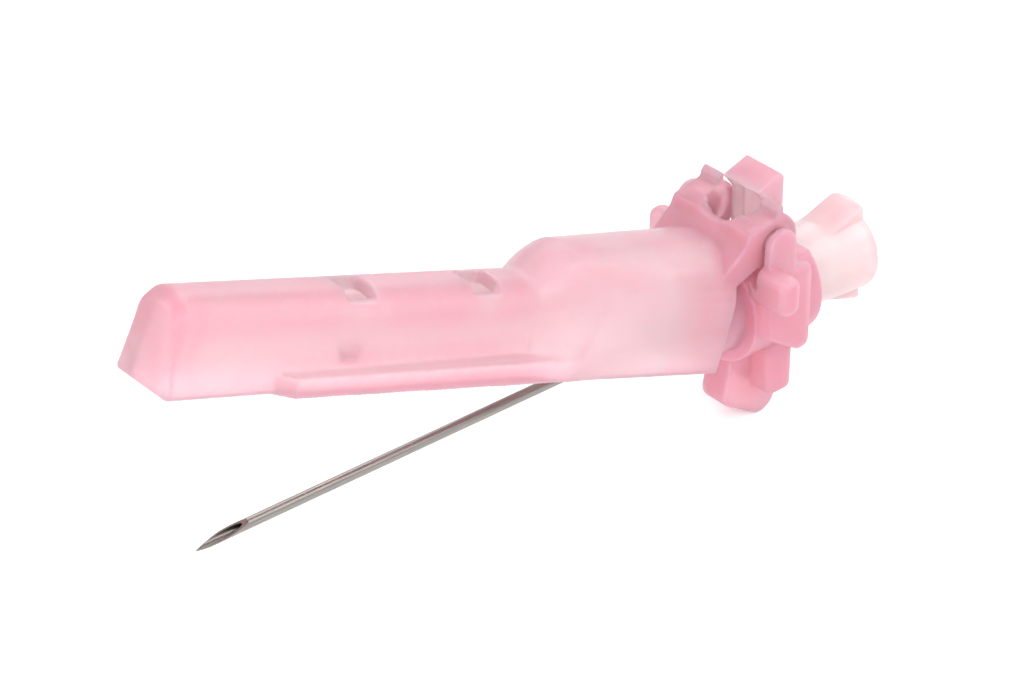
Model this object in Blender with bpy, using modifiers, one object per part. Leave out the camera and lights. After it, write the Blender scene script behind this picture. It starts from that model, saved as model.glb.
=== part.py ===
"""Safety needle: a steel hypodermic cannula in a moulded hub, with a collar pressed on the hub
and a hinged channel-shaped sheath that folds down over the cannula.

The frame: the origin is the centre of the hub's rear face, the cannula runs along -X,
the sheath opens towards +Z and its hinge axis is parallel to Y.
"""
import math

import bmesh
import bpy
from mathutils import Matrix, Vector

MM = 0.001

# Cannula
CANNULA_RADIUS = 0.375 * MM
CANNULA_BORE_RADIUS = 0.265 * MM
CANNULA_EXPOSED = 38.0 * MM
CANNULA_SEATED = 8.5 * MM
BEVEL_ANGLE = math.radians(10.3)
BEVEL_FACING = math.radians(17.0)
LANCET_ANGLE = math.radians(14.5)
LANCET_TURN = math.radians(38.0)

# Hub, with stations measured forwards from its rear face
HUB_LENGTH = 18.6 * MM
HUB_REAR_RADIUS = 3.2 * MM
HUB_NECK_RADIUS = 2.8 * MM
HUB_FLARE_LENGTH = 6.0 * MM
HUB_BODY_RADIUS = 2.45 * MM
HUB_BODY_END = 13.8 * MM
HUB_NOSE_REAR_RADIUS = 2.15 * MM
HUB_NOSE_RADIUS = 1.55 * MM
HUB_EDGE = 0.25 * MM
LUG_RADIUS = 3.9 * MM
LUG_WIDTH = 3.0 * MM
LUG_LENGTH = 0.4 * MM
LUG_RAMP = 3.0 * MM
SOCKET_MOUTH_RADIUS = 2.15 * MM
SOCKET_DEPTH = 7.5 * MM
SOCKET_TAPER = 0.03
SOCKET_FUNNEL = 1.2 * MM
WELL_RADIUS = 0.95 * MM
WELL_DEPTH = 1.6 * MM
BOND_GAP = 0.08 * MM
BEAD_DOME = 0.55 * MM

# Collar, with stations measured forwards from the hub's rear face
FIT_GAP = 0.25 * MM
COLLAR_REAR = 6.3 * MM
COLLAR_FRONT = 12.7 * MM
COLLAR_STEP = 7.85 * MM
FLANGE_RADIUS = 4.05 * MM
SLEEVE_RADIUS = 4.1 * MM
SNOUT_RADIUS = 3.2 * MM
SNOUT_FRONT = 15.6 * MM
GRIP_HALF_WIDTH = 4.9 * MM
GRIP_TOP = 4.0 * MM
GRIP_FRONT_DROP = 0.5 * MM
GRIP_REAR_DROP = 3.0 * MM
GRIP_FRONT = 12.5 * MM
GRIP_EDGE = 0.9 * MM
WING_REACH = 7.0 * MM
WING_TOP = 4.85 * MM
WING_BOTTOM = 2.0 * MM
WING_FRONT = 12.9 * MM
WING_REAR = 11.2 * MM
WING_EDGE = 0.7 * MM
HEEL_HALF_WIDTH = 3.1 * MM
HEEL_BOTTOM = 7.2 * MM
HEEL_FRONT = 10.1 * MM
HEEL_EDGE = 0.6 * MM
KEEL_HALF_WIDTH = 1.15 * MM
KEEL_FRONT = 12.6 * MM
KEEL_REAR = 7.65 * MM
KEEL_FRONT_DROP = 8.4 * MM
KEEL_REAR_DROP = 9.7 * MM
KEEL_EDGE = 1.4 * MM
CHEEK_INNER = 4.1 * MM
CHEEK_THICKNESS = 0.65 * MM
CHEEK_RADIUS = 1.25 * MM
CHEEK_OVERLAP = 0.4 * MM
POCKET_GAP = 0.85 * MM
TOWER_HALF_WIDTH = 1.72 * MM
TOWER_REAR = 8.2 * MM
TOWER_WALL = 0.8 * MM
TOWER_SIDE_WALL = 0.4 * MM
TOWER_SIDE_INSET = 0.03 * MM
TOWER_SIDE_FRONT = 9.87 * MM
TOWER_SIDE_BEND = 7.75 * MM
TOWER_SIDE_REACH = 10.5 * MM
TOWER_SIDE_RISE = 0.8 * MM
TOWER_TOP = 9.65 * MM
TOWER_SLOPE = math.radians(16.0)
TOWER_HOLLOW = 2.65 * MM
TOWER_LIP_FRONT = 10.7 * MM
TOWER_EDGE = 0.3 * MM
PIVOT_RADIUS = 0.75 * MM
PIVOT_REACH = 1.2 * MM

# Hinge
HINGE_X = -11.0 * MM
HINGE_Z = 6.1 * MM
SHEATH_ANGLE = math.radians(19.3)
HINGE_GAP = 0.2 * MM

# Sheath, in its own frame: origin on the hinge axis, tip towards -X, hollow open towards -Z
SHEATH_TIP = 48.65 * MM
SHEATH_FLOOR = 9.3 * MM
SHEATH_WALL = 0.95 * MM
SHEATH_RIM = 2.55 * MM
SHEATH_EDGE = 0.25 * MM
TIP_CHAMFER_LENGTH = 0.8 * MM
TIP_CHAMFER_DROP = 0.8 * MM
CHANNEL_TOP = 3.05 * MM
CHANNEL_HALF_FOOT = 2.63 * MM
CHANNEL_HALF_TOP = 2.15 * MM
CHANNEL_ROUND = 1.7 * MM
SHOULDER_START = 19.2 * MM
SHOULDER_END = 16.2 * MM
HOOD_TOP_FRONT = 1.05 * MM
HOOD_TOP_REAR = 0.75 * MM
HOOD_HALF_FRONT = 4.0 * MM
HOOD_CROWN_FRONT = 3.3 * MM
HOOD_CROWN_END = 14.2 * MM
HOOD_CROWN_REAR = 3.8 * MM
HOOD_HALF_REAR = 4.45 * MM
CROWN_FLAT = 0.3 * MM
SKIRT_START = 40.3 * MM
SKIRT_RAMP = 1.1 * MM
SKIRT_HALF_FRONT = 3.4 * MM
SKIRT_HALF_REAR = 3.95 * MM
SKIRT_HEIGHT_FRONT = 1.35 * MM
SKIRT_HEIGHT_REAR = 1.6 * MM
WINDOW_STATIONS = (34.0 * MM, 23.4 * MM)
WINDOW_LENGTH = 2.5 * MM
WINDOW_FAR_EDGE = 0.9 * MM
WINDOW_CUT = 3.75 * MM
WINDOW_HOLE_LOW = 5.0 * MM
CATCH_TIP = 0.55 * MM
CATCH_LENGTH = 1.6 * MM
CATCH_HEIGHT = 1.4 * MM
CATCH_BELOW = 0.65 * MM
CATCH_LEAN = 0.15 * MM
CATCH_POINT = 0.3 * MM
EAR_INNER = 2.0 * MM
EAR_OUTER = 3.85 * MM
EAR_RADIUS = 2.07 * MM
EAR_LIP = 2.68 * MM
EAR_LIP_REAR = 0.1 * MM
EAR_LIP_FRONT = 0.4 * MM
WEB_FOOT = 1.6 * MM
WEB_TOP = 1.3 * MM
WEB_SLOPE = ((1.6 * MM, 1.3 * MM), (2.55 * MM, 0.6 * MM), (2.64 * MM, -0.3 * MM), (3.15 * MM, -1.2 * MM))
WEB_VALLEY = ((0.5 * MM, 0.3 * MM), (1.1 * MM, 0.55 * MM), (1.55 * MM, 1.15 * MM), (1.65 * MM, 1.3 * MM))

ROUND_STEPS = 48
FINE_STEPS = 32
CORNER_STEPS = 8
MERGE = 0.000001
PAST = 1.0 * MM


def collection(name):
    """A new collection linked to the scene."""
    made = bpy.data.collections.new(name)
    bpy.context.scene.collection.children.link(made)
    return made


for old in list(bpy.data.objects):
    bpy.data.objects.remove(old, do_unlink=True)
PARTS = collection("safety_needle")
TOOLS = collection("cutters")


def material(name, colour, roughness, metallic=0.0, transmission=0.0):
    """A Principled material of one plain finish."""
    made = bpy.data.materials.new(name)
    made.use_nodes = True
    shader = made.node_tree.nodes["Principled BSDF"]
    shader.inputs["Base Color"].default_value = (*colour, 1.0)
    shader.inputs["Roughness"].default_value = roughness
    shader.inputs["Metallic"].default_value = metallic
    shader.inputs["Transmission Weight"].default_value = transmission
    made.diffuse_color = (*colour, 1.0)
    return made


def link(name, mesh, parent=None):
    """A mesh object in the tools' collection, until it is finished as a part."""
    made = bpy.data.objects.new(name, mesh)
    TOOLS.objects.link(made)
    made.hide_render = True
    made.display_type = "WIRE"
    made.parent = parent
    return made


def finish(piece, finish_material, sharp_angle=35.0):
    """Move a piece to the parts' collection with its material and smooth shading."""
    TOOLS.objects.unlink(piece)
    PARTS.objects.link(piece)
    piece.hide_render = False
    piece.display_type = "TEXTURED"
    piece.data.materials.clear()
    piece.data.materials.append(finish_material)
    piece.data.shade_smooth()
    piece.data.set_sharp_from_angle(angle=math.radians(sharp_angle))
    return piece


def combine(piece, tool, operation):
    """Add a Boolean of the tool to the piece."""
    step = piece.modifiers.new(operation.lower() + "_" + tool.name, "BOOLEAN")
    step.object = tool
    step.operation = operation
    step.solver = "EXACT"


def mesh_from(name, shape):
    """A mesh data block from a bmesh, with its normals made consistent."""
    bmesh.ops.recalc_face_normals(shape, faces=shape.faces)
    mesh = bpy.data.meshes.new(name)
    shape.to_mesh(mesh)
    shape.free()
    return mesh


def soften(piece, width):
    """Round the sharp edges of a piece."""
    bevel = piece.modifiers.new("soft_edges", "BEVEL")
    bevel.width = width
    bevel.segments = 3
    bevel.limit_method = "ANGLE"
    bevel.angle_limit = math.radians(40.0)


def block(name, low, high, edge=0.0, parent=None):
    """A box between two corners, with its edges rounded."""
    shape = bmesh.new()
    bmesh.ops.create_cube(shape, size=1.0)
    low, high = Vector(low), Vector(high)
    size = high - low
    bmesh.ops.scale(shape, vec=size, verts=shape.verts)
    bmesh.ops.translate(shape, vec=(low + high) / 2, verts=shape.verts)
    if edge:
        edge = min(edge, 0.45 * min(size))
        bmesh.ops.bevel(shape, geom=shape.edges[:], offset=edge, segments=3, profile=0.5,
                        affect="EDGES", clamp_overlap=True)
    return link(name, mesh_from(name, shape), parent)


def rod(name, radius, start, end, steps=ROUND_STEPS, parent=None):
    """A round bar between two points."""
    shape = bmesh.new()
    start, end = Vector(start), Vector(end)
    run = end - start
    turn = Vector((0, 0, 1)).rotation_difference(run).to_matrix().to_4x4()
    bmesh.ops.create_cone(shape, cap_ends=True, segments=steps, radius1=radius, radius2=radius,
                          depth=run.length, matrix=Matrix.Translation((start + end) / 2) @ turn)
    return link(name, mesh_from(name, shape), parent)


def turned(name, profile, steps=ROUND_STEPS):
    """A closed profile of (radius, station forwards) turned about the cannula's axis."""
    mesh = bpy.data.meshes.new(name)
    points = [(radius, 0.0, station) for radius, station in profile]
    edges = [(i, (i + 1) % len(points)) for i in range(len(points))]
    mesh.from_pydata(points, edges, [])
    piece = link(name, mesh)
    piece.rotation_euler = (0.0, math.radians(-90.0), 0.0)
    screw = piece.modifiers.new("turn", "SCREW")
    screw.axis = "Z"
    screw.steps = steps
    screw.render_steps = steps
    screw.use_merge_vertices = True
    screw.merge_threshold = MERGE
    return piece


def solid_of(name, source):
    """The evaluated shape of an object as a welded mesh object of its own."""
    bpy.context.view_layer.update()
    evaluated = source.evaluated_get(bpy.context.evaluated_depsgraph_get())
    mesh = bpy.data.meshes.new_from_object(evaluated)
    shape = bmesh.new()
    shape.from_mesh(mesh)
    bmesh.ops.remove_doubles(shape, verts=shape.verts, dist=MERGE)
    bmesh.ops.transform(shape, matrix=source.matrix_basis, verts=shape.verts)
    parent = source.parent
    bpy.data.meshes.remove(mesh)
    bpy.data.objects.remove(source, do_unlink=True)
    return link(name, mesh_from(name, shape), parent)


def plate(name, outline, low, high, normal="Y", parent=None):
    """A flat outline made solid between two positions on the named axis."""
    curve = bpy.data.curves.new(name, "CURVE")
    curve.dimensions = "2D"
    curve.fill_mode = "BOTH"
    curve.extrude = (high - low) / 2
    spline = curve.splines.new("POLY")
    spline.points.add(len(outline) - 1)
    for point, place in zip(spline.points, outline):
        point.co = (place[0], place[1], 0.0, 1.0)
    spline.use_cyclic_u = True
    shape = bpy.data.objects.new(name + "_outline", curve)
    TOOLS.objects.link(shape)
    shape.parent = parent
    middle = (low + high) / 2
    if normal == "Y":
        shape.rotation_euler = (math.radians(90.0), 0.0, 0.0)
        shape.location = (0.0, middle, 0.0)
    else:
        shape.rotation_euler = (math.radians(90.0), 0.0, math.radians(90.0))
        shape.location = (middle, 0.0, 0.0)
    return solid_of(name, shape)


def arc(centre, radius, start, end, steps=CORNER_STEPS):
    """Points on an arc, with its angles in degrees."""
    angles = [math.radians(start + (end - start) * i / steps) for i in range(steps + 1)]
    return [(centre[0] + radius * math.cos(a), centre[1] + radius * math.sin(a)) for a in angles]


def loft(name, sections, parent=None):
    """Skin (station, outline) sections that have the same number of points, and cap both ends."""
    shape = bmesh.new()
    rings = []
    for station, outline in sections:
        rings.append([shape.verts.new((station, y, z)) for y, z in outline])
    for near, far in zip(rings, rings[1:]):
        for i in range(len(near)):
            j = (i + 1) % len(near)
            shape.faces.new((near[i], near[j], far[j], far[i]))
    shape.faces.new(rings[0][::-1])
    shape.faces.new(rings[-1])
    bmesh.ops.connect_verts_nonplanar(shape, angle_limit=0.001, faces=shape.faces)
    return link(name, mesh_from(name, shape), parent)


def arch(half_foot, half_top, corner, top, foot):
    """An arch-shaped outline: a flat foot, leaning sides and rounded top corners."""
    right = [(half_foot, foot)] + arc((half_top - corner, top - corner), corner, 0, 90)
    left = [(-y, z) for y, z in reversed(right)]
    return right + left


def make_cannula():
    """Drawn steel tube, ground to a three-facet point whose bevel faces up and to the near side."""
    tip = HUB_LENGTH + CANNULA_EXPOSED
    back = HUB_LENGTH - CANNULA_SEATED
    tube = turned("cannula", [(CANNULA_BORE_RADIUS, tip), (CANNULA_RADIUS, tip),
                              (CANNULA_RADIUS, back), (CANNULA_BORE_RADIUS, back)], FINE_STEPS)
    reach = 4.0 * CANNULA_RADIUS / math.tan(BEVEL_ANGLE)
    point = Vector((-tip, 0.0, -CANNULA_RADIUS))
    facing = Matrix.Rotation(BEVEL_FACING, 4, "X")
    grinds = [("bevel", 0.0, BEVEL_ANGLE), ("lancet_near", -LANCET_TURN, LANCET_ANGLE),
              ("lancet_far", LANCET_TURN, LANCET_ANGLE)]
    for name, turn, angle in grinds:
        wheel = block(name, (-reach, -reach, 0.0), (reach, reach, reach))
        lean = Matrix.Rotation(turn, 4, "X") @ Matrix.Rotation(-angle, 4, "Y")
        wheel.matrix_basis = facing @ Matrix.Translation(point) @ lean
        combine(tube, wheel, "DIFFERENCE")
    return finish(tube, material("ground_steel", (0.55, 0.54, 0.52), 0.28, metallic=1.0))


def make_bead():
    """Cured adhesive in the hub's well, domed up round the cannula."""
    inner = CANNULA_RADIUS + BOND_GAP
    outer = WELL_RADIUS - BOND_GAP
    floor = HUB_LENGTH - WELL_DEPTH + BOND_GAP
    dome = [(inner + (outer - inner) * math.sin(a), HUB_LENGTH + BEAD_DOME * math.cos(a))
            for a in (math.radians(90 * i / CORNER_STEPS) for i in range(CORNER_STEPS + 1))]
    bead = turned("adhesive_bead", dome + [(outer, floor), (inner, floor)], FINE_STEPS)
    return finish(bead, material("cured_adhesive", (0.85, 0.80, 0.70), 0.2, transmission=0.6))


def hub_radius_at(station):
    """The hub's outer radius between its rear face and the collar."""
    share = min(station / HUB_FLARE_LENGTH, 1.0)
    return HUB_REAR_RADIUS + (HUB_NECK_RADIUS - HUB_REAR_RADIUS) * share


def make_hub():
    """Moulded hub: a nose for the cannula, a body for the collar and a tapered socket with lugs."""
    hub = turned("needle_hub", [
        (0.0, HUB_LENGTH), (HUB_NOSE_RADIUS - HUB_EDGE, HUB_LENGTH),
        (HUB_NOSE_RADIUS, HUB_LENGTH - HUB_EDGE), (HUB_NOSE_REAR_RADIUS, HUB_BODY_END),
        (HUB_BODY_RADIUS, HUB_BODY_END), (HUB_BODY_RADIUS, HUB_FLARE_LENGTH),
        (HUB_NECK_RADIUS, HUB_FLARE_LENGTH), (HUB_REAR_RADIUS, 0.0), (0.0, 0.0)])
    rim = turned("lug_disc", [
        (0.0, LUG_LENGTH + LUG_RAMP), (hub_radius_at(LUG_LENGTH + LUG_RAMP), LUG_LENGTH + LUG_RAMP),
        (LUG_RADIUS, LUG_LENGTH), (LUG_RADIUS, 0.0), (0.0, 0.0)])
    slab = block("lug_slab", (-LUG_LENGTH - LUG_RAMP - PAST, -LUG_WIDTH / 2, -LUG_RADIUS - PAST),
                 (PAST, LUG_WIDTH / 2, LUG_RADIUS + PAST))
    combine(rim, slab, "INTERSECT")
    lugs = solid_of("lugs", rim)
    combine(hub, lugs, "UNION")
    throat = SOCKET_MOUTH_RADIUS - SOCKET_TAPER * SOCKET_DEPTH
    bore = CANNULA_RADIUS + BOND_GAP
    socket = turned("socket_core", [
        (0.0, HUB_LENGTH + PAST), (WELL_RADIUS, HUB_LENGTH + PAST),
        (WELL_RADIUS, HUB_LENGTH - WELL_DEPTH), (bore, HUB_LENGTH - WELL_DEPTH),
        (bore, SOCKET_DEPTH + SOCKET_FUNNEL), (throat, SOCKET_DEPTH),
        (SOCKET_MOUTH_RADIUS + SOCKET_TAPER * PAST, -PAST), (0.0, -PAST)])
    combine(hub, socket, "DIFFERENCE")
    return finish(hub, material("clear_polypropylene", (0.93, 0.72, 0.74), 0.25, transmission=0.7))


def make_collar():
    """Moulded collar: a sleeve with finger grips, two hinge cheeks and a stop between them."""
    collar = rod("collar", SLEEVE_RADIUS, (-COLLAR_FRONT, 0, 0), (-COLLAR_STEP, 0, 0))
    flange = rod("flange", FLANGE_RADIUS, (-COLLAR_STEP - PAST, 0, 0), (-COLLAR_REAR, 0, 0))
    combine(collar, flange, "UNION")
    snout = rod("snout", SNOUT_RADIUS, (-SNOUT_FRONT, 0, 0), (-COLLAR_FRONT + PAST, 0, 0))
    combine(collar, snout, "UNION")
    grip = block("grip", (-GRIP_FRONT, -GRIP_HALF_WIDTH, -GRIP_REAR_DROP),
                 (-COLLAR_STEP, GRIP_HALF_WIDTH, GRIP_TOP), GRIP_EDGE)
    slope = math.atan2(GRIP_REAR_DROP - GRIP_FRONT_DROP, GRIP_FRONT - COLLAR_STEP - GRIP_EDGE)
    wedge = block("grip_wedge", (0.0, -WING_REACH, -WING_REACH), (WING_REACH, WING_REACH, 0.0))
    wedge.location = (-GRIP_FRONT, 0.0, -GRIP_FRONT_DROP)
    wedge.rotation_euler = (0.0, slope, 0.0)
    combine(grip, wedge, "DIFFERENCE")
    grip = solid_of("grips", grip)
    combine(collar, grip, "UNION")
    heel = block("heel", (-HEEL_FRONT, -HEEL_HALF_WIDTH, -HEEL_BOTTOM),
                 (-COLLAR_STEP, HEEL_HALF_WIDTH, 0.0), HEEL_EDGE)
    combine(collar, heel, "UNION")
    slope = math.degrees(math.atan2(KEEL_REAR_DROP - KEEL_FRONT_DROP, KEEL_FRONT - KEEL_REAR))
    outline = (arc((-KEEL_FRONT + KEEL_EDGE, -KEEL_FRONT_DROP + KEEL_EDGE), KEEL_EDGE, 180, 270 - slope)
               + arc((-KEEL_REAR - KEEL_EDGE, -KEEL_REAR_DROP + KEEL_EDGE), KEEL_EDGE, 270 - slope, 360)
               + [(-KEEL_REAR, -SLEEVE_RADIUS), (-COLLAR_STEP, 0.0), (-KEEL_FRONT + KEEL_EDGE, 0.0)])
    keel = plate("keel", outline, -KEEL_HALF_WIDTH, KEEL_HALF_WIDTH)
    combine(collar, keel, "UNION")
    for side in (-1, 1):
        ends = sorted((side * (CHEEK_INNER - PAST), side * WING_REACH))
        wing = block("wing", (-WING_FRONT, ends[0], WING_BOTTOM), (-WING_REAR, ends[1], WING_TOP),
                     WING_EDGE)
        combine(collar, wing, "UNION")
    cheek_outer = CHEEK_INNER + CHEEK_THICKNESS
    for side in (-1, 1):
        ends = sorted((side * (CHEEK_INNER - CHEEK_OVERLAP), side * cheek_outer))
        outline = ([(HINGE_X + CHEEK_RADIUS, GRIP_TOP - PAST)]
                   + arc((HINGE_X, HINGE_Z), CHEEK_RADIUS, 0, 180, 2 * CORNER_STEPS)
                   + [(HINGE_X - CHEEK_RADIUS, GRIP_TOP - PAST)])
        cheek = plate("cheek", outline, ends[0], ends[1])
        combine(collar, cheek, "UNION")
    pocket = block("ear_pocket", (-WING_FRONT - PAST, -CHEEK_INNER, HINGE_Z - EAR_RADIUS - POCKET_GAP),
                   (-COLLAR_REAR + PAST, CHEEK_INNER, TOWER_TOP))
    combine(collar, pocket, "DIFFERENCE")
    for side in (-1, 1):
        pivot = rod("pivot", PIVOT_RADIUS, (HINGE_X, side * (cheek_outer - CHEEK_THICKNESS / 2), HINGE_Z),
                    (HINGE_X, side * (CHEEK_INNER - PIVOT_REACH), HINGE_Z), FINE_STEPS)
        combine(collar, pivot, "UNION")
    face = -TOWER_REAR - TOWER_WALL
    meet = math.degrees(math.acos((face - HINGE_X) / TOWER_HOLLOW))
    reach = math.degrees(math.acos((-TOWER_LIP_FRONT - HINGE_X) / TOWER_HOLLOW))
    hollow = arc((HINGE_X, HINGE_Z), TOWER_HOLLOW, reach, meet)
    drop = math.tan(TOWER_SLOPE) * (TOWER_LIP_FRONT - TOWER_REAR)
    outline = ([(-TOWER_REAR, 0.0), (-TOWER_REAR, TOWER_TOP - TOWER_EDGE),
                (-TOWER_REAR - TOWER_EDGE, TOWER_TOP), (-TOWER_LIP_FRONT, TOWER_TOP - drop)]
               + hollow + [(face, 0.0)])
    tower = plate("tower", outline, -TOWER_HALF_WIDTH, TOWER_HALF_WIDTH)
    combine(collar, tower, "UNION")
    for side in (-1, 1):
        ends = sorted((side * (TOWER_HALF_WIDTH - TOWER_SIDE_WALL),
                       side * (TOWER_HALF_WIDTH - TOWER_SIDE_INSET)))
        top = HINGE_Z + TOWER_HOLLOW
        bend = [(-TOWER_SIDE_FRONT, TOWER_SIDE_BEND),
                (-TOWER_SIDE_REACH, TOWER_SIDE_BEND + TOWER_SIDE_RISE)]
        outline = [(face + CHEEK_OVERLAP, 0.0), (-TOWER_SIDE_FRONT, 0.0)] + bend
        outline += [(-TOWER_SIDE_REACH, top), (face + CHEEK_OVERLAP, top)]
        wall = plate("tower_side", outline, ends[0], ends[1])
        combine(collar, wall, "UNION")
    bore = rod("hub_bore", HUB_BODY_RADIUS + FIT_GAP, (-SNOUT_FRONT - PAST, 0, 0),
               (-COLLAR_REAR + PAST, 0, 0))
    combine(collar, bore, "DIFFERENCE")
    return finish(collar, material("dark_pink_polypropylene", (0.85, 0.36, 0.47), 0.35,
                                   transmission=0.3))


def sheath_shell(inset, rear, foot):
    """Sections of the sheath's outer form, or of its hollow when they are inset by the wall."""
    def section(top, half_foot, half_top, corner):
        return arch(half_foot - inset, half_top - inset, max(corner - inset, 0.3 * MM), -top - inset,
                    -foot)

    channel = (CHANNEL_TOP, CHANNEL_HALF_FOOT, CHANNEL_HALF_TOP, CHANNEL_ROUND)
    low_tip = (CHANNEL_TOP + TIP_CHAMFER_DROP, CHANNEL_HALF_FOOT, CHANNEL_HALF_TOP - 0.2 * MM,
               CHANNEL_ROUND - 0.5 * MM)
    hood_front = (HOOD_TOP_FRONT, HOOD_HALF_FRONT, HOOD_CROWN_FRONT, HOOD_CROWN_FRONT - CROWN_FLAT)
    hood_middle = (HOOD_TOP_FRONT, HOOD_HALF_FRONT, HOOD_CROWN_REAR, HOOD_CROWN_REAR - CROWN_FLAT)
    hood_rear = (HOOD_TOP_REAR, HOOD_HALF_REAR, HOOD_HALF_REAR, HOOD_HALF_REAR - CROWN_FLAT)
    stations = [(-SHEATH_TIP + inset, low_tip), (-SHEATH_TIP + TIP_CHAMFER_LENGTH + inset, channel),
                (-SHOULDER_START, channel)]
    for i in range(1, CORNER_STEPS):
        share = i / CORNER_STEPS
        ease = share * (3.0 - share) / 2.0
        mixed = tuple(a + (b - a) * ease for a, b in zip(channel, hood_front))
        stations.append((-SHOULDER_START + (SHOULDER_START - SHOULDER_END) * share, mixed))
    stations += [(-SHOULDER_END, hood_front), (-HOOD_CROWN_END, hood_middle), (rear, hood_rear)]
    return [(station, section(*shape)) for station, shape in stations]


def channel_half_at(height):
    """Half the channel's outer width at a height on its leaning sides."""
    lean = (CHANNEL_HALF_FOOT - CHANNEL_HALF_TOP) / (SHEATH_FLOOR - CHANNEL_TOP - CHANNEL_ROUND)
    return CHANNEL_HALF_TOP + lean * (-height - CHANNEL_TOP - CHANNEL_ROUND)


def ear_outline():
    """Side view of one hinge ear: round about the pivot, with a lip and a ramp down to the hood."""
    start = arc((0.0, 0.0), EAR_RADIUS, -115, 68, 2 * CORNER_STEPS)
    lip = [(0.0, 2.2 * MM), (-EAR_LIP_REAR, EAR_LIP), (-EAR_LIP_FRONT, EAR_LIP), (-0.6 * MM, 2.2 * MM)]
    brow = [(-0.45 * MM, 1.85 * MM), (-1.62 * MM, 1.14 * MM), (-2.6 * MM, 0.58 * MM),
            (-2.69 * MM, -0.3 * MM), (-3.2 * MM, -1.2 * MM)]
    root = [(-3.9 * MM, -2.2 * MM), (-3.9 * MM, -3.6 * MM), (-2.7 * MM, -3.4 * MM)]
    return start + lip + brow + root


def make_sheath():
    """Moulded sheath: a closed-ended channel, a hood for the hub, a skirt, windows and hinge ears."""
    hinge = bpy.data.objects.new("sheath_hinge", None)
    PARTS.objects.link(hinge)
    hinge.location = (HINGE_X, 0.0, HINGE_Z)
    hinge.rotation_euler = (0.0, SHEATH_ANGLE, 0.0)
    bpy.context.view_layer.update()
    sheath = loft("sheath", sheath_shell(0.0, -SHEATH_RIM, SHEATH_FLOOR), hinge)
    soften(sheath, SHEATH_EDGE)

    def skirt_section(half, height):
        return [(-half, -SHEATH_FLOOR), (half, -SHEATH_FLOOR), (half, -SHEATH_FLOOR + height),
                (-half, -SHEATH_FLOOR + height)]

    skirt = loft("skirt", [
        (-SKIRT_START, skirt_section(CHANNEL_HALF_FOOT - 0.05 * MM, SKIRT_HEIGHT_FRONT)),
        (-SKIRT_START + SKIRT_RAMP, skirt_section(SKIRT_HALF_FRONT, SKIRT_HEIGHT_FRONT)),
        (-SHOULDER_END + PAST, skirt_section(SKIRT_HALF_REAR, SKIRT_HEIGHT_REAR))], hinge)
    combine(sheath, skirt, "UNION")
    for side in (-1, 1):
        ends = sorted((side * EAR_INNER, side * EAR_OUTER))
        ear = plate("ear", ear_outline(), ends[0], ends[1], parent=hinge)
        combine(sheath, ear, "UNION")
    half_web = (EAR_INNER + EAR_OUTER) / 2

    def web_section(limit):
        right = [(y, min(z, limit)) for y, z in WEB_VALLEY + ((half_web, WEB_TOP),)]
        right.append((half_web, -WEB_FOOT))
        return right + [(-y, z) for y, z in reversed(right)]

    web = loft("web", [(-station, web_section(limit)) for station, limit in WEB_SLOPE[::-1]], hinge)
    combine(sheath, web, "UNION")
    hollow = loft("hollow", sheath_shell(SHEATH_WALL, -SHEATH_RIM + 0.05 * MM, SHEATH_FLOOR + PAST), hinge)
    combine(sheath, hollow, "DIFFERENCE")
    for side in (-1, 1):
        eye = rod("eye", PIVOT_RADIUS + HINGE_GAP, (0, side * (EAR_OUTER + PAST), 0),
                  (0, side * (CHEEK_INNER - PIVOT_REACH - HINGE_GAP), 0), FINE_STEPS, hinge)
        combine(sheath, eye, "DIFFERENCE")
    for number, station in enumerate(WINDOW_STATIONS):
        front, rear = -station - WINDOW_LENGTH / 2, -station + WINDOW_LENGTH / 2
        notch = block("notch", (front, -CHANNEL_HALF_FOOT, -WINDOW_CUT), (rear, WINDOW_FAR_EDGE, 0.0),
                      parent=hinge)
        combine(sheath, notch, "DIFFERENCE")
        half_hole = CHANNEL_HALF_TOP - SHEATH_WALL - 0.1 * MM
        hole = block("hole", (front, -half_hole, -WINDOW_HOLE_LOW), (rear, WINDOW_FAR_EDGE, 0.0),
                     parent=hinge)
        combine(sheath, hole, "DIFFERENCE")
        side = 1 if number % 2 else -1
        low = HINGE_Z + CATCH_BELOW
        wall = channel_half_at(-low) - SHEATH_WALL / 2
        catch = plate("catch", [
            (side * wall, -low), (side * CATCH_TIP, -low - CATCH_LEAN),
            (side * CATCH_TIP, -low - CATCH_LEAN - CATCH_POINT), (side * wall, -low - CATCH_HEIGHT)],
            -station - CATCH_LENGTH / 2, -station + CATCH_LENGTH / 2, normal="X", parent=hinge)
        combine(sheath, catch, "UNION")
    return finish(sheath, material("pink_polypropylene", (0.91, 0.53, 0.60), 0.35, transmission=0.4))


make_cannula()
make_bead()
make_hub()
make_collar()
make_sheath()
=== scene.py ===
# %% [markdown]
# # A safety needle, seen on a pale table
#
# The real object is a steel hypodermic cannula held in a moulded plastic hub. A collar is pressed
# round the hub, and a channel-shaped sheath hinges on the collar: after an injection it is folded
# down over the cannula, and two small catches inside it keep the steel from coming out again.
#
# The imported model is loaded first. It is a fixed frame: its nodes are never moved, so every new
# piece is made in place round them, in metres.

# %% Load the frame
import math

import bpy
from mathutils import Matrix, Vector
from mathutils.bvhtree import BVHTree
from mathutils.kdtree import KDTree


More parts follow.
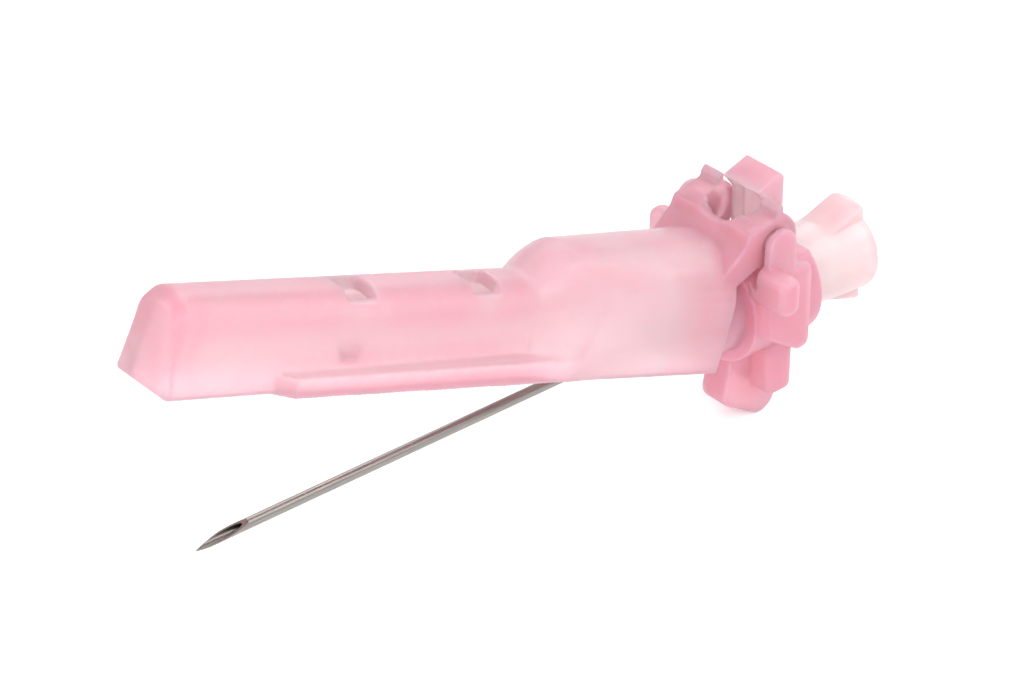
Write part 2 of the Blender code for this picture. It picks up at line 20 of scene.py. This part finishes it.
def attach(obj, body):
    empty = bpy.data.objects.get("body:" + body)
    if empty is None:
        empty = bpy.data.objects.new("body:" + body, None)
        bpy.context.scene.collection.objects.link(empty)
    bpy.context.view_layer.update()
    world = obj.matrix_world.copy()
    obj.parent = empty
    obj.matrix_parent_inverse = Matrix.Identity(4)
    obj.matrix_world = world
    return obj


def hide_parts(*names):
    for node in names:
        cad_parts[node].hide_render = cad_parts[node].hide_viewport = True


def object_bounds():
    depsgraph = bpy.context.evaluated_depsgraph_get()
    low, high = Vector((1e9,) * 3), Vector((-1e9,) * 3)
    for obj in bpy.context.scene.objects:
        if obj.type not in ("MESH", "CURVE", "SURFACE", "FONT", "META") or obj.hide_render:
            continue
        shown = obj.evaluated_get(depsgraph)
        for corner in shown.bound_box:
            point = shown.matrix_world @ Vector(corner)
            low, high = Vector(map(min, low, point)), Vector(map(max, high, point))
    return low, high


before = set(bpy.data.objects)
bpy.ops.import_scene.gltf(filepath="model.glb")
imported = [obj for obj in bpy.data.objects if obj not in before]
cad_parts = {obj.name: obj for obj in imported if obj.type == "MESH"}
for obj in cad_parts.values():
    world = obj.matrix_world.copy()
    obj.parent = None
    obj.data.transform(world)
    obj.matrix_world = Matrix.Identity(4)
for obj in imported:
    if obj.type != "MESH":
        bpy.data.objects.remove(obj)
cad_low, cad_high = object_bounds()
MM = 0.001
print("CAD box, mm:", [round(v / MM, 2) for v in cad_high - cad_low])

# %% [markdown]
# ## The camera
#
# A product photograph is usually taken with a long lens from a little above, so that the sides of
# the object hardly converge. The place of this camera was found by matching known corners of the
# part with the picture, and the lens follows from it. The sheath's long run keeps the view honest:
# if the lens were wrong, its two ends would be out of scale.

# %% Place the camera
CAMERA_PLACE = Vector((-160.596, -152.828, 131.661)) * MM
CAMERA_BACK = Vector((-0.5465, -0.6440, 0.5354))
CAMERA_LENS = 128.14


def place_camera():
    """A long lens that looks along the direction found for the photograph."""
    bpy.ops.object.camera_add(location=CAMERA_PLACE)
    camera = bpy.context.object
    camera.rotation_mode = "QUATERNION"
    camera.rotation_quaternion = CAMERA_BACK.to_track_quat("Z", "Y")
    camera.data.lens = CAMERA_LENS
    camera.data.sensor_width = 36.0
    camera.data.clip_start = 0.01
    camera.data.clip_end = 5.0
    bpy.context.scene.camera = camera
    return camera


camera = place_camera()
print("camera at, mm:", [round(v / MM, 1) for v in camera.location], "lens", camera.data.lens)

# %% [markdown]
# ## Small helpers
#
# An operator acts on everything that is selected, and loading leaves the nodes selected. So each
# step starts by selecting only the piece that it works on. Modifiers are applied as they are
# added, in the order in which a person would press the buttons.

# %% Select, apply and name
def only(piece):
    """Select this one piece and make it active."""
    bpy.ops.object.select_all(action="DESELECT")
    piece.hide_set(False)
    piece.select_set(True)
    bpy.context.view_layer.objects.active = piece
    return piece


def applied(piece, kind, name, **settings):
    """Add a modifier with its settings and apply it at once."""
    only(piece)
    step = piece.modifiers.new(name, kind)
    for key, value in settings.items():
        setattr(step, key, value)
    bpy.ops.object.modifier_apply(modifier=step.name)
    return piece


def cut(piece, tool, operation="DIFFERENCE"):
    """Apply a Boolean of the tool to the piece, and remove the tool."""
    applied(piece, "BOOLEAN", "cut", object=tool, operation=operation, solver="EXACT")
    bpy.data.objects.remove(tool, do_unlink=True)
    return piece


def settle(piece, name):
    """Give the finished piece its name, and put its place and turn in its mesh."""
    only(piece)
    bpy.ops.object.transform_apply(location=True, rotation=True, scale=True)
    piece.name = name
    piece.data.name = name
    return piece


def smooth_by_angle(piece, degrees):
    """Shade the piece smooth, and keep the edges that are sharper than the angle."""
    only(piece)
    bpy.ops.object.shade_smooth_by_angle(angle=math.radians(degrees))
    return piece


# %% [markdown]
# ## Colour and nodes
#
# Colours are written as the hex values that a screen shows, and one function turns them to the
# linear values that a shader works in. Another adds a node with its settings and links, so that
# each material reads from top to bottom as it would look in the node editor.

# %% Hex to linear, and one node at a time
def linear(code):
    """The linear colour of an sRGB hex code."""
    parts = [int(code[i:i + 2], 16) / 255 for i in (1, 3, 5)]
    return tuple(p / 12.92 if p <= 0.04045 else ((p + 0.055) / 1.055) ** 2.4 for p in parts) + (1.0,)


def add(tree, kind, settings=None, **inputs):
    """Add a node: settings are its own properties, inputs are values or sockets to link from."""
    node = tree.nodes.new("ShaderNode" + kind)
    for key, value in (settings or {}).items():
        setattr(node, key, value)
    for key, value in inputs.items():
        socket = node.inputs[int(key[1:])] if key[1:].isdigit() else node.inputs[key.replace("_", " ")]
        if isinstance(value, bpy.types.NodeSocket):
            tree.links.new(value, socket)
        else:
            socket.default_value = value
    return node


def new_material(name):
    """An empty node material with its Principled shader and the object's own coordinates."""
    made = bpy.data.materials.new(name)
    made.use_nodes = True
    tree = made.node_tree
    shader = tree.nodes["Principled BSDF"]
    place = add(tree, "TexCoord").outputs["Object"]
    return made, tree, shader, place


# %% [markdown]
# ## Moulded pink polypropylene
#
# The three mouldings are injection-moulded polypropylene with a little pink pigment. The plastic is
# milky: light goes into it and comes out again softened. One thin wall on its own is nearly white,
# two walls behind each other are a soft pink, and where the light has to cross a rib, a rim or a
# solid lump it turns a deep pink. Here that light and shade are painted into the base colour: the
# colour follows how much plastic lies behind each point of the skin, pale where a thin wall would be
# lit through, and deeper pink, as painted shade, where it is thick or lies over other pieces. The pink
# is the plastic's own; its change with depth is painted light. That depth is measured on each piece
# further down and kept as an attribute, and a ramp turns it to colour here. Polypropylene's
# refractive index is about 1.49.

# %% The plastics
def plastic_with_painted_light(name, painted_light_tones, clearness, roughness, depth_mm, grain_mm=0.35):
    """Milky plastic with painted light: its tint deepens from the first tone to the last with depth."""
    made, tree, shader, place = new_material(name)
    depth = add(tree, "Attribute", {"attribute_name": "plastic_depth"})
    # the melt's flow lines leave the pigment a few per cent uneven, over about 4 mm
    flow = add(tree, "Mapping", Vector=place, Scale=(60.0, 240.0, 240.0))
    drift = add(tree, "TexNoise", Vector=flow.outputs[0], Scale=1.0, Detail=3.0, Roughness=0.5)
    uneven = add(tree, "MapRange", Value=drift.outputs["Fac"], To_Min=-0.06, To_Max=0.06)
    total = add(tree, "Math", {"operation": "ADD"}, _0=depth.outputs["Fac"], _1=uneven.outputs["Result"])
    # the ramp paints light and shade into the base colour: thin plastic pale as if lit through, thick or
    # overlapped plastic deeper pink as painted shade
    ramp = add(tree, "ValToRGB", Fac=total.outputs[0])
    stops = ramp.color_ramp.elements
    while len(stops) < len(painted_light_tones):
        stops.new(0.5)
    for stop, (position, code) in zip(stops, painted_light_tones):
        stop.position = position
        stop.color = linear(code)
    skin = add(tree, "TexNoise", Vector=place, Scale=1.0 / (grain_mm * MM), Detail=2.0)
    bump = add(tree, "Bump", Strength=0.12, Distance=0.02 * MM, Height=skin.outputs["Fac"])
    gloss = add(tree, "MapRange", Value=skin.outputs["Fac"], To_Min=roughness - 0.04,
                To_Max=roughness + 0.05)
    tree.links.new(ramp.outputs["Color"], shader.inputs["Base Color"])
    tree.links.new(gloss.outputs["Result"], shader.inputs["Roughness"])
    tree.links.new(bump.outputs["Normal"], shader.inputs["Normal"])
    shader.inputs["IOR"].default_value = 1.49
    shader.inputs["Transmission Weight"].default_value = clearness
    shader.inputs["Subsurface Weight"].default_value = 1.0
    shader.inputs["Subsurface Radius"].default_value = (1.0, 0.6, 0.65)
    shader.inputs["Subsurface Scale"].default_value = depth_mm * MM
    return made


# painted light: the first tone is thin plastic painted pale as if lit through, the last is thick or
# overlapped plastic painted deep pink as shade
SHEATH_PAINTED_LIGHT_TONES = ((0.0, "#FFF4F3"), (0.25, "#FBE6E8"), (0.52, "#F6CFD7"), (0.85, "#F1B1C1"))
COLLAR_PAINTED_LIGHT_TONES = ((0.0, "#FFFAF8"), (0.28, "#FFEBEC"), (0.55, "#F7C4CF"), (0.95, "#F0A8BA"))
HUB_PAINTED_LIGHT_TONES = ((0.0, "#FDEFED"), (0.35, "#FBE7E5"), (0.62, "#F6D2D5"), (1.0, "#EDB2BD"))
sheath_plastic = plastic_with_painted_light("pink_polypropylene", SHEATH_PAINTED_LIGHT_TONES, 0.55, 0.36, 2.2)
collar_plastic = plastic_with_painted_light("deep_pink_polypropylene", COLLAR_PAINTED_LIGHT_TONES, 0.4, 0.36, 2.0)
hub_plastic = plastic_with_painted_light("clear_pink_polypropylene", HUB_PAINTED_LIGHT_TONES, 0.3, 0.3, 2.4)
print("plastics:", sheath_plastic.name, collar_plastic.name, hub_plastic.name)

# %% [markdown]
# ## Dressing a piece
#
# Every new piece gets its material and is attached to the body that it moves with, and the node
# that it stands in for is hidden.

# %% Dress a piece
def finish_piece(piece, material, node, body):
    """Give a piece its material, attach it to its body and hide the node that it stands in for."""
    piece.data.materials.clear()
    piece.data.materials.append(material)
    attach(piece, body)
    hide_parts(node)
    return piece


# %% [markdown]
# ## Ground stainless steel
#
# The cannula is drawn from stainless tube, so fine lines run along it, and they stretch its
# highlights across. The three facets of its point are ground, with their own scratches. Steel
# keeps the default index, and its roughness is that of a drawn and washed surface.

# %% The cannula's steel
def drawn_steel():
    """Bright drawn tube with fine lines along X."""
    made, tree, shader, place = new_material("drawn_stainless_steel")
    # drawing lines are a few micrometres apart on the real tube, and are drawn here at 0.04 mm
    lines = add(tree, "Mapping", Vector=place, Scale=(0.4 / MM, 25.0 / MM, 25.0 / MM))
    streaks = add(tree, "TexNoise", Vector=lines.outputs[0], Scale=1.0, Detail=4.0, Roughness=0.6)
    tint = add(tree, "ValToRGB", Fac=streaks.outputs["Fac"])
    tint.color_ramp.elements[0].position = 0.3
    tint.color_ramp.elements[0].color = linear("#7E7C78")
    tint.color_ramp.elements[1].position = 0.7
    tint.color_ramp.elements[1].color = linear("#9F9C97")
    rough = add(tree, "MapRange", Value=streaks.outputs["Fac"], To_Min=0.24, To_Max=0.36)
    bump = add(tree, "Bump", Strength=0.1, Distance=0.004 * MM, Height=streaks.outputs["Fac"])
    tree.links.new(tint.outputs["Color"], shader.inputs["Base Color"])
    tree.links.new(rough.outputs["Result"], shader.inputs["Roughness"])
    tree.links.new(bump.outputs["Normal"], shader.inputs["Normal"])
    shader.inputs["Metallic"].default_value = 1.0
    return made


steel = drawn_steel()
print("steel:", steel.name)

# %% [markdown]
# ## Cured adhesive
#
# A drop of ultraviolet-cured acrylic bonds the tube into the hub's nose. It is clear, a little
# yellow, glossy, and domed up round the steel by surface tension. The node's shape is right, so
# it only gets this material.

# %% The adhesive
def clear_adhesive():
    """Clear cured acrylic with faint cloudiness."""
    made, tree, shader, place = new_material("cured_acrylic_adhesive")
    cloud = add(tree, "TexNoise", Vector=place, Scale=2.5 / MM, Detail=2.0)
    tint = add(tree, "ValToRGB", Fac=cloud.outputs["Fac"])
    tint.color_ramp.elements[0].color = linear("#F3E9DC")
    tint.color_ramp.elements[1].color = linear("#FBF4EC")
    tree.links.new(tint.outputs["Color"], shader.inputs["Base Color"])
    shader.inputs["Roughness"].default_value = 0.08
    shader.inputs["Transmission Weight"].default_value = 0.85
    return made


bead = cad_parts["adhesive_bead"]
bead.data.materials.clear()
bead.data.materials.append(clear_adhesive())
print("bead:", bead.name, "in", bead.data.materials[0].name)

# %% [markdown]
# ## The cannula
#
# A cylinder primitive is opened at both ends and given the tube's wall by Solidify. The point is
# made as a grinder makes it: one long flat bevel, then the tube is turned to each side for two
# short facets. Each pass of the wheel is a block that cuts away what stands above its face. The
# bevel doesn't face straight up: the tube was bonded in the hub with a small turn to the near side.

# %% Grind the tube
TUBE_RADIUS = 0.375 * MM
TUBE_WALL = 0.11 * MM
TUBE_TIP = -56.6 * MM
TUBE_BACK = -10.1 * MM
BEVEL_FACING = 17.0


def make_tube():
    """A drawn tube with a wall, along X."""
    bpy.ops.mesh.primitive_cylinder_add(vertices=96, radius=TUBE_RADIUS, depth=TUBE_BACK - TUBE_TIP,
                                        end_fill_type="NOTHING",
                                        location=((TUBE_BACK + TUBE_TIP) / 2, 0, 0),
                                        rotation=(0, math.radians(90), 0))
    tube = settle(bpy.context.object, "needle_tube")
    return applied(tube, "SOLIDIFY", "wall", thickness=TUBE_WALL, offset=-1.0, use_even_offset=True)


def grind(tube, turn, angle):
    """One pass of the wheel: a block turned about the tube and leaned back from the point."""
    reach = 8.0 * MM
    bpy.ops.mesh.primitive_cube_add(size=reach)
    wheel = bpy.context.object
    wheel.data.transform(Matrix.Translation((0, 0, reach / 2)))
    lean = Matrix.Rotation(math.radians(turn), 4, "X") @ Matrix.Rotation(-math.radians(angle), 4, "Y")
    facing = Matrix.Rotation(math.radians(BEVEL_FACING), 4, "X")
    wheel.matrix_world = facing @ Matrix.Translation((TUBE_TIP, 0, -TUBE_RADIUS)) @ lean
    return cut(tube, wheel)


tube = make_tube()
for turn, angle in ((0.0, 10.3), (-38.0, 14.5), (38.0, 14.5)):
    grind(tube, turn, angle)
smooth_by_angle(tube, 28)
finish_piece(tube, steel, "cannula", "hub_assembly")
print("tube faces:", len(tube.data.polygons))

# %% [markdown]
# ## The moulded pieces
#
# The hub, the collar and the sheath are single mouldings whose ribs, ears and fins run into each
# other with small fillets. Those are hard to bevel one by one. So a copy of each node is merged,
# remeshed as one skin of small squares and smoothed, which rounds every edge and inner corner
# alike, as a polished mould does.

# %% Round a moulding
def moulding(node, name, voxel_mm, passes):
    """A copy of a node as one smooth skin, with every edge and corner eased."""
    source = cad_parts[node]
    piece = bpy.data.objects.new(name, source.data.copy())
    bpy.context.scene.collection.objects.link(piece)
    only(piece)
    bpy.ops.object.mode_set(mode="EDIT")
    bpy.ops.mesh.select_all(action="SELECT")
    bpy.ops.mesh.remove_doubles(threshold=0.001 * MM)
    bpy.ops.object.mode_set(mode="OBJECT")
    applied(piece, "REMESH", "skin", mode="VOXEL", voxel_size=voxel_mm * MM, adaptivity=0.0)
    applied(piece, "SMOOTH", "ease", factor=0.5, iterations=passes)
    bpy.ops.object.shade_smooth()
    print(name, "triangles:", 2 * len(piece.data.polygons))
    return piece


# %% [markdown]
# ## How much plastic lies behind the skin
#
# From each point of the skin a small fan of straight lines runs inwards, one along the normal and
# six leaning from it, through walls and hollows, and the lengths inside plastic are added up. The
# lines also cross the pieces nested inside: the sleeve lies over the hub, and the hood's rear over
# both, and there the colour is painted a deeper pink, as painted shade between the parts. Lengths
# past a few millimetres don't count, because milky plastic then looks solid. The sums are taken on a
# coarse copy, which is quick, and each point of the fine skin takes the mean of its nearest ones.

# %% Measure the depth
FAN_LEAN = 38.0
FAN_TURNS = [60.0 * step for step in range(6)]
FAN = [(0.0, 0.0)] + [(FAN_LEAN, turn) for turn in FAN_TURNS]
DEEP = 4.0 * MM
MOST_SKINS = 8
BELOW_SKIN = 0.02 * MM
PAST_SKIN = 0.002 * MM
NEAREST = 6


def plastic_along(walls, start, direction):
    """The length inside plastic along a straight line, up to the depth that looks solid."""
    length = 0.0
    inside = True
    point = start
    for _ in range(MOST_SKINS):
        hit, normal, _, distance = walls.ray_cast(point, direction)
        if hit is None:
            break
        if inside:
            length += distance
        inside = normal.dot(direction) < 0.0
        point = hit + direction * PAST_SKIN
        if length > DEEP:
            break
    return min(length, DEEP)


def walls_of(pieces):
    """One search tree of the skins of these pieces."""
    points = []
    faces = []
    for piece in pieces:
        first = len(points)
        points.extend(v.co.copy() for v in piece.data.vertices)
        faces.extend([first + index for index in p.vertices] for p in piece.data.polygons)
    return BVHTree.FromPolygons(points, faces)


def measure_depth(piece, walls, coarse_mm):
    """Keep the depth of plastic behind each point as an attribute from 0 to 1."""
    rough = piece.copy()
    rough.data = piece.data.copy()
    bpy.context.scene.collection.objects.link(rough)
    applied(rough, "REMESH", "coarse", mode="VOXEL", voxel_size=coarse_mm * MM, adaptivity=0.0)
    skin = walls_of([piece])
    near = KDTree(len(rough.data.vertices))
    sums = []
    for vertex in rough.data.vertices:
        normal = vertex.normal
        side = normal.orthogonal().normalized()
        start, _, _, _ = skin.find_nearest(vertex.co)
        start = start - normal * BELOW_SKIN
        total = 0.0
        for lean, turn in FAN:
            tilt = Matrix.Rotation(math.radians(turn), 3, normal) @ side
            away = -normal * math.cos(math.radians(lean)) + tilt * math.sin(math.radians(lean))
            total += plastic_along(walls, start, away)
        near.insert(vertex.co, len(sums))
        sums.append(total / len(FAN))
    near.balance()
    bpy.data.objects.remove(rough, do_unlink=True)
    # this depth drives the painted light and shade in the plastics' base colour
    depth = piece.data.attributes.new("plastic_depth", "FLOAT", "POINT")
    for vertex, value in zip(piece.data.vertices, depth.data):
        found = near.find_n(vertex.co, NEAREST)
        value.value = sum(sums[index] for _, index, _ in found) / len(found) / DEEP
    spread = sorted(value.value for value in depth.data)
    print(piece.name, "depth, lowest, middle, highest:",
          [round(spread[int(share * (len(spread) - 1))], 2) for share in (0.02, 0.5, 0.98)])
    return piece


# %% [markdown]
# ## Hub, collar and sheath
#
# The squares of the skin are finest on the hub and the collar, which have the thinnest fins.

# %% Make the three mouldings
coarse = 1.0
hub = moulding("needle_hub", "hub_moulding", 0.09 * coarse, 4)
collar = moulding("collar", "collar_moulding", 0.09 * coarse, 5)
sheath = moulding("sheath", "sheath_moulding", 0.13 * coarse, 4)
# the collar and the sheath count the pieces nested inside them, so where they overlap their colour is
# painted deeper pink as shade
nested_walls = walls_of([hub, collar, sheath])
measure_depth(hub, walls_of([hub]), 0.35)
measure_depth(collar, nested_walls, 0.35)
measure_depth(sheath, nested_walls, 0.4)
finish_piece(hub, hub_plastic, "needle_hub", "hub_assembly")
finish_piece(collar, collar_plastic, "collar", "hub_assembly")
finish_piece(sheath, sheath_plastic, "sheath", "sheath_body")
print("mouldings:", hub.name, collar.name, sheath.name)

# %% [markdown]
# ## The table
#
# The object stands on a pale table, a wide sheet whose colour is nearly white. For the camera it
# glows a little, so that it ends in the same white as the backdrop, but it still takes the
# object's shadow.

# %% The table
def pale_table():
    """A nearly white surface that keeps a soft shadow."""
    made, tree, shader, place = new_material("pale_table")
    paper = add(tree, "TexNoise", Vector=place, Scale=1.2 / MM, Detail=2.0)
    tone = add(tree, "ValToRGB", Fac=paper.outputs["Fac"])
    tone.color_ramp.elements[0].color = linear("#F4F4F4")
    tone.color_ramp.elements[1].color = linear("#F8F8F8")
    tree.links.new(tone.outputs["Color"], shader.inputs["Base Color"])
    shader.inputs["Roughness"].default_value = 0.9
    shader.inputs["Specular IOR Level"].default_value = 0.0
    path = add(tree, "LightPath")
    seen = add(tree, "Math", {"operation": "MAXIMUM"}, _0=path.outputs["Is Camera Ray"],
               _1=path.outputs["Is Glossy Ray"])
    seen = add(tree, "Math", {"operation": "MAXIMUM"}, _0=seen.outputs[0],
               _1=path.outputs["Is Transmission Ray"])
    glow = add(tree, "Math", {"operation": "MULTIPLY"}, _0=seen.outputs[0], _1=0.25)
    shader.inputs["Emission Color"].default_value = (1.0, 1.0, 1.0, 1.0)
    tree.links.new(glow.outputs[0], shader.inputs["Emission Strength"])
    return made


bpy.ops.mesh.primitive_plane_add(size=4.0, location=(0, 0, cad_low.z - 0.05 * MM))
table = settle(bpy.context.object, "table")
table.data.materials.append(pale_table())
print("table at, mm:", round(table.data.vertices[0].co.z / MM, 2))


# %% [markdown]
# ## The light
#
# Milky plastic is photographed in even light: a bright room all round, a soft lamp near the camera
# that looks into the hollows, and weaker ones at the far side and behind. The last lamp is for the
# steel. A tube mirrors only what lies to the side, so this lamp stands where the cannula, seen from
# the camera, mirrors it along its upper middle.

# %% The lamps and the room
LAMPS_LOOK_AT = Vector((-0.028, 0, 0.003))


def lamp(name, place, size, watts):
    """A square soft lamp that points at the middle of the object."""
    bpy.ops.object.light_add(type="AREA", location=place)
    made = bpy.context.object
    made.name = name
    made.rotation_mode = "QUATERNION"
    made.rotation_quaternion = (made.location - LAMPS_LOOK_AT).to_track_quat("Z", "Y")
    made.data.size = size
    made.data.energy = watts
    return made


lamp("key_lamp", (-0.33, -0.40, 0.42), 0.3, 2.0)
lamp("fill_lamp", (-0.45, 0.35, 0.35), 0.4, 0.8)
lamp("back_lamp", (0.40, 0.35, 0.45), 0.35, 1.0)
lamp("steel_lamp", (0.33, -0.29, 0.51), 0.45, 1.6)

room = bpy.data.worlds.new("room")
bpy.context.scene.world = room
room.use_nodes = True
sky = room.node_tree
surface = sky.nodes["Background"]
path = add(sky, "LightPath")
shown = add(sky, "Math", {"operation": "MAXIMUM"}, _0=path.outputs["Is Camera Ray"],
            _1=path.outputs["Is Glossy Ray"])
shown = add(sky, "Math", {"operation": "MAXIMUM"}, _0=shown.outputs[0],
            _1=path.outputs["Is Transmission Ray"])
level = add(sky, "MapRange", Value=shown.outputs[0], To_Min=0.68, To_Max=1.0)
surface.inputs["Color"].default_value = (1.0, 1.0, 1.0, 1.0)
sky.links.new(level.outputs["Result"], surface.inputs["Strength"])
bpy.context.scene.view_settings.view_transform = "Standard"
